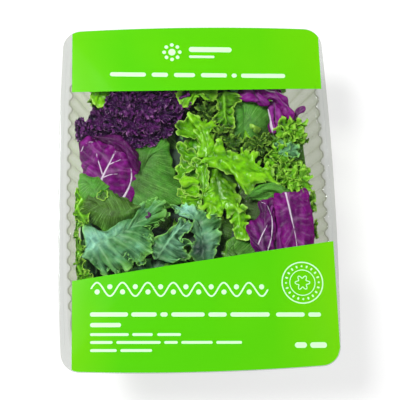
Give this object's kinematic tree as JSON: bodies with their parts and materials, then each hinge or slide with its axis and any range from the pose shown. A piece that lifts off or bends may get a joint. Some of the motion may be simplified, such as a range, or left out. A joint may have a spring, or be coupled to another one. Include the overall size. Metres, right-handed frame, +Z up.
{
  "type": "sealed tray of salad leaves",
  "caption": "Sealed clear tray of mixed salad leaves: fluted side walls, flat flange with rounded corners, and a green printed film lid with a clear window.",
  "frame": {"origin": "middle of the tray's underside, on the surface it stands on", "axes": "+Z up through the film; +Y along the long side, towards the end with the narrow printed band; +X across"},
  "size_m": [0.178, 0.228, 0.0619],
  "materials": {
    "clear_tray": "clear thermoformed plastic sheet, glossy, very slightly warm grey",
    "leaves": "fresh leaves: yellow-green and blue-green lettuce, dark purple ruffled lettuce, red-purple radicchio with white ribs",
    "printed_film": "thin glossy film, printed lime green at both ends with a clear window between"
  },
  "bodies": {
    "root": {"tray": "clear_tray", "salad": "leaves", "lid_film": "printed_film"}
  },
  "joints": []
}
